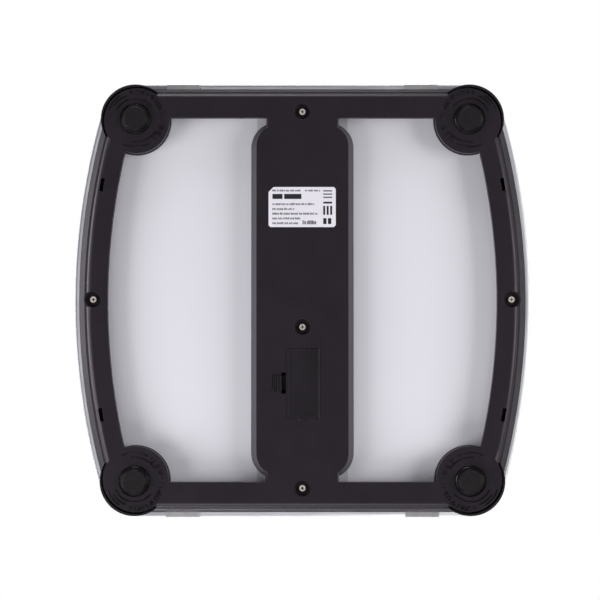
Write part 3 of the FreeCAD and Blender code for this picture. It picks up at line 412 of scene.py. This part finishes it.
BLACK = (0.0132, 0.0104, 0.0140)
PLASTIC_SHEEN = (1.0, 0.90, 1.0)
finishes = {
    "glass": painted_glass(),
    "stainless": brushed("brushed_stainless", (0.80, 0.77, 0.79), 0.42),
    "tape": moulded("foam_bonding_tape", (0.55, 0.55, 0.57), 0.8, 0.5 * MM, 0.02 * MM),
    "black_plastic": housing_plastic("satin_black_housing", BLACK),
    "door_plastic": moulded("spark_grained_door_abs", (0.0108, 0.0088, 0.0116), 0.42, 0.4 * MM, 0.005 * MM,
                            0.16, 0.25 * MM, 0.32, PLASTIC_SHEEN),
    "foot_plastic": moulded("glossy_foot_abs", (0.006, 0.005, 0.006), 0.26, 0.6 * MM, 0.004 * MM, 0.12,
                            0.2 * MM, 0.4),
    "foot_rubber": dusty_rubber("foot_sole_rubber", (0.0052, 0.0043, 0.0046), 0.60),
    "screw_steel": screw_plating(),
    "lead_sleeve": wire_sleeve("grey_lead_sleeve", (0.10, 0.10, 0.11)),
    "thin_lead": wire_sleeve("red_thin_lead", (0.30, 0.02, 0.015)),
    "cell_steel": brushed("ground_load_cell_steel", (0.50, 0.49, 0.47), 0.35, (1, 0.05, 1), 0.3 * MM,
                          0.004 * MM),
    "white_plastic": moulded("white_nylon", (0.70, 0.69, 0.66), 0.5, 0.5 * MM, 0.006 * MM, 0.04),
    "gauge_film": plated("gauge_film", (0.55, 0.30, 0.08), 0.4),
    "board": solder_masked_board(),
    "chip_black": moulded("chip_epoxy", (0.02, 0.02, 0.022), 0.55, 0.15 * MM, 0.004 * MM),
    "display": display_glass(),
    "light_guide": moulded("frosted_light_guide", (0.80, 0.84, 0.88), 0.35, 0.2 * MM, 0.003 * MM, 0.03),
    "zebra_rubber": dusty_rubber("zebra_strip_rubber", (0.16, 0.10, 0.12), 0.6),
    "key_plastic": moulded("satin_key_plastic", (0.36, 0.36, 0.38), 0.32, 0.3 * MM, 0.003 * MM, 0.05),
    "switch_plastic": moulded("switch_nylon", (0.03, 0.03, 0.032), 0.5, 0.3 * MM, 0.005 * MM),
    "battery_jacket": battery_wrap(),
    "nickel_plate": plated("nickel_plated_spring_steel", (0.70, 0.68, 0.64), 0.24),
    "foam": open_foam(),
    "label": label_film(),
}
# The raised marks are glossier and are coloured darker than the housing: the darker colour is painted shade
# along the ridges.
SHADED_POLISHED = moulded("shaded_polished_mould_marks", (0.0035, 0.0028, 0.0036), 0.24, 0.5 * MM, 0.002 * MM, 0.1,
                   0.12 * MM, 0.5, PLASTIC_SHEEN)
INK = printing_ink("black_label_ink", (0.018, 0.016, 0.02))
KEY_MARK = printing_ink("white_key_mark", (0.85, 0.85, 0.86), 0.4)
SEGMENT = lit_segment()
ghost = Finish("dark_display_segment", (0.010, 0.012, 0.015), 0.35)
GHOST = ghost.drift(300, 0.3).uneven(500, 0.05).material

for subpart in frame["record"]["subparts"]:
    mesh = nodes[subpart["node"]].data
    mesh.materials.clear()
    mesh.materials.append(finishes[subpart["material_slot"]])


# ---------------------------------------------------------------- making pieces

def finished_piece(mesh_work, name, material, body, smooth=True):
    """Turns finished bmesh work into a piece that rides on a body."""
    bmesh.ops.remove_doubles(mesh_work, verts=mesh_work.verts, dist=1e-7)
    bmesh.ops.recalc_face_normals(mesh_work, faces=mesh_work.faces)
    mesh = bpy.data.meshes.new(name)
    mesh_work.to_mesh(mesh)
    mesh_work.free()
    mesh.materials.append(material)
    if smooth:
        mesh.shade_smooth()
        mesh.set_sharp_from_angle(angle=math.radians(35))
    piece = bpy.data.objects.new(name, mesh)
    scene.collection.objects.link(piece)
    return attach(piece, body)


def face_of(verts):
    """The one face of a fresh grid."""
    return next(iter(set(f for v in verts for f in v.link_faces)))


def pull_up(mesh_work, verts, height):
    """Extrudes the face of a grid and returns the new vertices on top."""
    pulled = bmesh.ops.extrude_face_region(mesh_work, geom=[face_of(verts)], use_keep_orig=True)
    top = [g for g in pulled["geom"] if isinstance(g, bmesh.types.BMVert)]
    bmesh.ops.translate(mesh_work, vec=(0, 0, height), verts=top)
    return top


def slab(mesh_work, x0, x1, y0, y1, z0, z1, turn=0.0, about=None, crest=1.0):
    """A flat bar drawn as a face and pulled up to its thickness; its lower side is crest times as wide."""
    verts = bmesh.ops.create_grid(mesh_work, x_segments=1, y_segments=1, size=0.5)["verts"]
    bmesh.ops.scale(mesh_work, vec=(x1 - x0, y1 - y0, 1), verts=verts)
    top = pull_up(mesh_work, verts, z1 - z0)
    verts = list(set(verts + top))
    if crest != 1.0:
        below = [v for v in verts if v not in top]
        slope = (1 - crest) * (y1 - y0)
        bmesh.ops.scale(mesh_work, vec=(1 - slope / (x1 - x0), crest, 1), verts=below)
    place = Matrix.Translation(((x0 + x1) / 2, (y0 + y1) / 2, z0))
    if turn:
        place = place @ Matrix.Rotation(turn, 4, "Z")
    if about is not None:
        place = about @ place
    bmesh.ops.transform(mesh_work, matrix=place, verts=verts)


def raised_arc(mesh_work, radius, start, end, width, low, high, steps, crest=1.0):
    """A ridge swept round the Z axis from start to end, in degrees; its lower side is crest times as wide."""
    section = bmesh.ops.create_grid(mesh_work, x_segments=1, y_segments=1, size=0.5)["verts"]
    bmesh.ops.rotate(mesh_work, cent=(0, 0, 0), matrix=Matrix.Rotation(math.pi / 2, 3, "X"), verts=section)
    bmesh.ops.scale(mesh_work, vec=(crest, 1, 1), verts=[v for v in section if v.co.z < 0])
    bmesh.ops.scale(mesh_work, vec=(width, 1, high - low), verts=section)
    bmesh.ops.translate(mesh_work, vec=(radius, 0, (low + high) / 2), verts=section)
    bmesh.ops.rotate(mesh_work, cent=(0, 0, 0), matrix=Matrix.Rotation(math.radians(start), 3, "Z"),
                     verts=section)
    copy = bmesh.ops.duplicate(mesh_work, geom=[face_of(section)])["geom"]
    swept = [g for g in copy if isinstance(g, bmesh.types.BMFace)]
    bmesh.ops.spin(mesh_work, geom=swept, cent=(0, 0, 0), axis=(0, 0, 1), angle=math.radians(end - start),
                   steps=steps, use_merge=False, use_duplicate=False)


# ---------------------------------------------------------------- raised marks on the corner discs

EMBOSS, ROOT = 0.5 * MM, 0.02 * MM
RIDGE_WIDE, STROKE_HALF, CREST = 0.95 * MM, 0.32 * MM, 0.3
SHORTER, SERIF, PAIR_ANGLE = 1.5, 0.7, 3.0
# Radius in mm, then each ridge's start and end in degrees, from the outward X side to the outward Y side.
DISC_RIDGES = ((20.3, -119, -64), (17.0, -150, -82), (14.8, 25, 142), (17.8, 32, 69), (20.0, 17, 57))
MARK_RING = (18.1, 21.4)
MARK_START, MARK_END = 80, 236


def disc_marks(corner):
    """Ridges and a ring of plain strokes where the mould was engraved; they spell nothing."""
    sx, sy = CORNERS[corner]
    low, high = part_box(f"foot_pad_{corner}")
    centre = (low + high) / 2
    work = bmesh.new()
    face, proud = COVER_FACE + ROOT, COVER_FACE - EMBOSS
    for radius, start, end in DISC_RIDGES:
        steps = max(8, (end - start) // 3)
        raised_arc(work, radius * MM, start, end, RIDGE_WIDE, proud, face, steps, CREST)
    angle = MARK_START
    strokes = random.Random(3)
    while angle < MARK_END:
        inner, outer = MARK_RING
        kind = strokes.choice(("long", "long", "short_in", "short_out", "lean", "pair"))
        if kind == "short_in":
            outer -= SHORTER
        if kind == "short_out":
            inner += SHORTER
        turned = Matrix.Rotation(math.radians(angle), 4, "Z")
        lean = 0.35 if kind == "lean" else 0.0
        slab(work, inner * MM, outer * MM, -STROKE_HALF, STROKE_HALF, proud, face, turn=lean, about=turned,
             crest=CREST)
        if kind == "pair":
            beside = Matrix.Rotation(math.radians(angle + PAIR_ANGLE), 4, "Z")
            slab(work, inner * MM, (inner + SERIF) * MM, -SERIF * MM, SERIF * MM, proud, face, about=beside,
                 crest=CREST)
            angle += PAIR_ANGLE
        angle += strokes.choice((3.4, 3.4, 4.2, 8.0))
    bmesh.ops.scale(work, vec=(sx, sy, 1), verts=work.verts)
    bmesh.ops.translate(work, vec=(centre.x, centre.y, 0), verts=work.verts)
    finished_piece(work, f"disc_marks_{corner}", SHADED_POLISHED, "platform", smooth=False)


RIB_COUNT = 64
SOLE_RADIUS, RIB_TIP_RADIUS = 8.75 * MM, 9.7 * MM
RIB_DEEP, RIB_WIDE, RIB_EDGE = 0.55 * MM, 0.42 * MM, 0.12 * MM
ABOVE_SOLE, BELOW_COVER = 0.35 * MM, 0.75 * MM


def foot_ribs(corner):
    """Fine upright ribs all round the sloping side of a foot."""
    low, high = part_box(f"foot_pad_{corner}")
    centre = (low + high) / 2
    foot_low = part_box(f"foot_{corner}")[0].z
    work = bmesh.new()
    base, tip = foot_low + ABOVE_SOLE, COVER_FACE - BELOW_COVER
    rib = bmesh.ops.create_grid(work, x_segments=1, y_segments=1, size=0.5)["verts"]
    top = pull_up(work, rib, 1)
    rib += top
    bmesh.ops.scale(work, vec=(RIB_DEEP, RIB_WIDE, tip - base), verts=rib)
    bmesh.ops.translate(work, vec=(SOLE_RADIUS, 0, base), verts=rib)
    bmesh.ops.translate(work, vec=(RIB_TIP_RADIUS - SOLE_RADIUS, 0, 0), verts=top)
    outer = [e for e in work.edges if all(v.co.x > SOLE_RADIUS for v in e.verts)
             and abs(e.verts[0].co.z - e.verts[1].co.z) > 1 * MM]
    bmesh.ops.bevel(work, geom=outer, offset=RIB_EDGE, segments=1, affect="EDGES", profile=0.5, material=-1)
    bmesh.ops.spin(work, geom=work.verts[:] + work.edges[:] + work.faces[:], cent=(0, 0, 0), axis=(0, 0, 1),
                   angle=2 * math.pi, steps=RIB_COUNT, use_merge=False, use_duplicate=True)
    bmesh.ops.translate(work, vec=(centre.x, centre.y, 0), verts=work.verts)
    finished_piece(work, f"foot_ribs_{corner}", finishes["foot_plastic"], "platform",
                   smooth=False)


for corner_name in CORNERS:
    disc_marks(corner_name)
    foot_ribs(corner_name)


# ---------------------------------------------------------------- label print

INK_THICK = 0.02 * MM
WORD_GAP, STROKE_GAP, LINE_HEIGHT = 0.55 * MM, 0.2 * MM, 1.5 * MM
# Distance below the label's top edge, height, then the start and end from its left edge, all in mm.
PRINT_LINES = (
    (1.9, 1.3, 2.6, 23.4), (1.9, 1.3, 26.2, 37.2), (5.0, 3.6, 2.8, 10.0), (5.0, 3.6, 11.2, 23.6),
    (11.5, 1.5, 2.8, 33.2), (15.0, 1.5, 2.8, 18.4), (18.4, 1.5, 2.8, 35.6), (21.8, 1.5, 2.8, 22.8),
    (25.2, 1.5, 2.8, 22.0), (24.0, 2.8, 24.4, 35.4))
# Distance below the top edge, height, width, steps to the right and down, all in mm, and how many.
BLOCKS_START = 39.2
PRINT_BLOCKS = ((2.4, 0.8, 6.4, 0, 2.3, 3), (10.6, 1.3, 6.4, 0, 0, 1), (13.6, 6.4, 1.4, 2.5, 0, 3),
                (22.4, 4.2, 2.4, 3.4, 0, 2))
TALL_PRINT = 3


def printed_strokes(work, left, right, top, height, low):
    """One printed line as upright strokes and short bars in word-like groups; they spell nothing."""
    at = left
    larger = (height / LINE_HEIGHT) ** 0.5
    while at < right - 0.5 * MM:
        for _ in range(dice.randint(3, 8)):
            wide = dice.choice((0.28, 0.42, 0.55)) * MM * larger
            if at + wide > right:
                break
            tall = height * dice.choice((1.0, 0.8, 0.8, 1.0))
            slab(work, -at - wide, -at, top - height, top - height + tall, low, low + INK_THICK)
            at += wide + STROKE_GAP * larger
        at += WORD_GAP


def label_print():
    """Plain strokes and blocks where the label is printed."""
    work = bmesh.new()
    low = LABEL_LOW.z - INK_THICK * 0.5
    for down, height, start, end in PRINT_LINES:
        top = LABEL_HIGH.y - down * MM
        if height > TALL_PRINT:
            slab(work, -end * MM, -start * MM, top - height * MM, top, low, low + INK_THICK)
        else:
            printed_strokes(work, start * MM, end * MM, top, height * MM, low)
    for down, height, wide, across, lower, count in PRINT_BLOCKS:
        for step in range(count):
            start = (BLOCKS_START + step * across) * MM
            top = LABEL_HIGH.y - (down + step * lower) * MM
            slab(work, -start - wide * MM, -start, top - height * MM, top, low, low + INK_THICK)
    bmesh.ops.translate(work, vec=(LABEL_HIGH.x, 0, 0), verts=work.verts)
    finished_piece(work, "label_print", INK, "platform", smooth=False)


label_print()


# ---------------------------------------------------------------- display and keys on top

PRINT_THICK = 0.06 * MM
WINDOW_PAST_X, WINDOW_PAST_Y, WINDOW_CORNER = 1.5 * MM, 1.0 * MM, 3 * MM


def rounded_window():
    """The dark window over the display, with round corners."""
    low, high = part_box("lcd_panel")
    work = bmesh.new()
    slab(work, low.x - WINDOW_PAST_X, high.x + WINDOW_PAST_X, low.y - WINDOW_PAST_Y, high.y + WINDOW_PAST_Y,
         GLASS_TOP - ROOT, GLASS_TOP + PRINT_THICK)
    upright = [e for e in work.edges if abs(e.verts[0].co.z - e.verts[1].co.z) > PRINT_THICK / 2]
    bmesh.ops.bevel(work, geom=upright, offset=WINDOW_CORNER, segments=6, affect="EDGES", profile=0.5,
                    material=-1)
    finished_piece(work, "display_window", finishes["display"], "platform")


SEGMENTS_OF = {"0": "abcdef", "1": "bc", "2": "abged", "3": "abgcd", "4": "fgbc", "5": "afgcd", "6": "afgedc",
               "7": "abc", "8": "abcdefg", "9": "abcdfg"}
DIGIT_WIDE, DIGIT_TALL, STROKE, SEGMENT_GAP = 8.0 * MM, 17.0 * MM, 1.7 * MM, 0.25 * MM
DIGITS_LEFT, DIGIT_PITCH, DIGIT_THICK = 21.5 * MM, 11.0 * MM, 0.02 * MM
POINT_SIZE, POINT_BACK = 1.3 * MM, 2.1 * MM


def digit(work_lit, work_dark, left, bottom, shown, low, high):
    """One seven-segment digit; the segments that aren't shown stay faintly visible."""
    gap = SEGMENT_GAP
    middle, top, right = bottom + DIGIT_TALL / 2, bottom + DIGIT_TALL, left + DIGIT_WIDE
    flat = {"a": top - STROKE, "g": middle - STROKE / 2, "d": bottom}
    for name, at in flat.items():
        work = work_lit if name in shown else work_dark
        slab(work, left + STROKE + gap, right - STROKE - gap, at, at + STROKE, low, high)
    upright = {"f": (left, middle), "b": (right - STROKE, middle), "e": (left, bottom),
               "c": (right - STROKE, bottom)}
    for name, (at, base) in upright.items():
        work = work_lit if name in shown else work_dark
        slab(work, at, at + STROKE, base + STROKE / 2 + gap, base + DIGIT_TALL / 2 - STROKE / 2 + gap * 2,
             low, high)


def display_digits():
    """The reading with nobody on the scale."""
    low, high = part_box("lcd_panel")
    middle = (low + high) / 2
    lit, dark = bmesh.new(), bmesh.new()
    base, top = GLASS_TOP + PRINT_THICK, GLASS_TOP + PRINT_THICK + DIGIT_THICK
    bottom = middle.y - DIGIT_TALL / 2
    for column, character in enumerate(("", "", "0", "0")):
        left = middle.x - DIGITS_LEFT + column * DIGIT_PITCH
        digit(lit, dark, left, bottom, SEGMENTS_OF.get(character, ""), base, top)
    point = middle.x - DIGITS_LEFT + 3 * DIGIT_PITCH - POINT_BACK
    slab(lit, point, point + POINT_SIZE, bottom, bottom + POINT_SIZE, base, top)
    finished_piece(lit, "display_segments_lit", SEGMENT, "platform", smooth=False)
    finished_piece(dark, "display_segments_dark", GHOST, "platform", smooth=False)


KEY_RING, KEY_RING_WIDE, KEY_STROKE, KEY_STROKE_HALF = 2.2 * MM, 0.5 * MM, 2.3 * MM, 0.28 * MM


def key_marks():
    """An open ring, a plus and a minus on the three keys."""
    for name, shape in (("set", "ring"), ("up", "plus"), ("down", "minus")):
        low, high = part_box(f"key_cap_{name}")
        centre = (low + high) / 2
        work = bmesh.new()
        base, top = high.z - ROOT, high.z
        if shape == "ring":
            raised_arc(work, KEY_RING, 0, 300, KEY_RING_WIDE, base, top, 40)
        else:
            slab(work, -KEY_STROKE, KEY_STROKE, -KEY_STROKE_HALF, KEY_STROKE_HALF, base, top)
        if shape == "plus":
            slab(work, -KEY_STROKE_HALF, KEY_STROKE_HALF, -KEY_STROKE, KEY_STROKE, base, top)
        bmesh.ops.translate(work, vec=(centre.x, centre.y, 0), verts=work.verts)
        finished_piece(work, f"key_mark_{name}", KEY_MARK, f"key_{name}", smooth=False)


rounded_window()
display_digits()
key_marks()


# ---------------------------------------------------------------- floor, light and camera

def pale_floor():
    """A pale floor under the scale, which is clear from below, so that the underside can be seen."""
    work = bmesh.new()
    bmesh.ops.create_grid(work, x_segments=1, y_segments=1, size=4.0)
    mesh = bpy.data.meshes.new("pale_floor")
    work.to_mesh(mesh)
    work.free()
    floor = bpy.data.objects.new("pale_floor", mesh)
    scene.collection.objects.link(floor)
    finish = Finish("pale_floor_paint", (0.82, 0.82, 0.83), 0.6)
    finish.drift(1.2, 0.015)
    clear = finish.node("ShaderNodeBsdfTransparent")
    side = finish.node("ShaderNodeNewGeometry")
    blend = finish.node("ShaderNodeMixShader")
    finish.link(side.outputs["Backfacing"], blend.inputs["Fac"])
    finish.link(finish.shader.outputs["BSDF"], blend.inputs[1])
    finish.link(clear.outputs["BSDF"], blend.inputs[2])
    finish.link(blend.outputs["Shader"], finish.tree.nodes["Material Output"].inputs["Surface"])
    mesh.materials.append(finish.material)
    floor.visible_shadow = False
    floor.visible_diffuse = False
    floor.visible_glossy = False
    floor.visible_transmission = False


def studio_surround():
    """Soft light from all round: pale above, dimmer straight below, and plain white to the eye."""
    world = bpy.data.worlds.new("studio_surround")
    scene.world = world
    world.use_nodes = True
    tree = world.node_tree
    light = tree.nodes["Background"]
    direction = tree.nodes.new("ShaderNodeTexCoord")
    split = tree.nodes.new("ShaderNodeSeparateXYZ")
    tree.links.new(direction.outputs["Generated"], split.inputs["Vector"])
    tall = tree.nodes.new("ShaderNodeMapRange")
    for key, value in (("From Min", -1.0), ("From Max", 0.2), ("To Min", 0.16), ("To Max", 0.55)):
        tall.inputs[key].default_value = value
    tree.links.new(split.outputs["Z"], tall.inputs["Value"])
    tree.links.new(tall.outputs["Result"], light.inputs["Strength"])
    light.inputs["Color"].default_value = (0.96, 0.95, 1.0, 1)
    seen = tree.nodes.new("ShaderNodeBackground")
    seen.inputs["Color"].default_value = (1, 1, 1, 1)
    path = tree.nodes.new("ShaderNodeLightPath")
    mix = tree.nodes.new("ShaderNodeMixShader")
    tree.links.new(path.outputs["Is Camera Ray"], mix.inputs["Fac"])
    tree.links.new(light.outputs["Background"], mix.inputs[1])
    tree.links.new(seen.outputs["Background"], mix.inputs[2])
    tree.links.new(mix.outputs["Shader"], tree.nodes["World Output"].inputs["Surface"])


def softbox(name, direction, distance, size, watts, colour=(1, 1, 1)):
    """A square soft light that faces the scale."""
    lamp = bpy.data.lights.new(name, "AREA")
    lamp.shape = "SQUARE"
    lamp.size = size
    lamp.energy = watts
    lamp.color = colour
    holder = bpy.data.objects.new(name, lamp)
    scene.collection.objects.link(holder)
    towards = Vector(direction).normalized()
    holder.location = towards * distance
    holder.rotation_mode = "QUATERNION"
    holder.rotation_quaternion = towards.to_track_quat("Z", "Y")
    holder.visible_camera = False


pale_floor()
studio_surround()
softbox("softbox_lower_left_below", (0.82, -0.34, -0.50), 1.5, 0.8, 14)
softbox("softbox_right_below", (-0.86, 0.02, -0.46), 1.5, 0.8, 14)
softbox("softbox_near_end_below", (0.10, -0.86, -0.44), 1.5, 0.8, 9)
softbox("softbox_far_end_side", (0.12, 0.98, -0.13), 1.5, 0.7, 12)
softbox("softbox_left_side", (1.0, 0.05, 0.12), 1.3, 0.7, 10)
softbox("softbox_overhead", (0.35, -0.5, 1.0), 1.6, 1.2, 15)

scene.view_settings.view_transform = "Standard"
scene.view_settings.look = "None"

# The camera looks up at the underside, with the display end at the top and the heel end a little nearer.
CAMERA_BELOW_GLASS = 1.114
CAMERA_LEAN = math.radians(1.5)
AIM = Vector((1.74 * MM, 0, GLASS_UNDER))
SENSOR_WIDE = 36.0
VIEW_WIDE_AT_GLASS = 0.435
eye = bpy.data.cameras.new("eye")
eye.sensor_width = SENSOR_WIDE
eye.lens = SENSOR_WIDE * CAMERA_BELOW_GLASS / VIEW_WIDE_AT_GLASS
eye.clip_start, eye.clip_end = 0.05, 20
camera = bpy.data.objects.new("eye", eye)
scene.collection.objects.link(camera)
camera.matrix_world = (Matrix.Translation(AIM) @ Matrix.Rotation(-CAMERA_LEAN, 4, "X")
                       @ Matrix.Translation((0, 0, -CAMERA_BELOW_GLASS)) @ Matrix.Rotation(math.pi, 4, "Y"))
scene.camera = camera
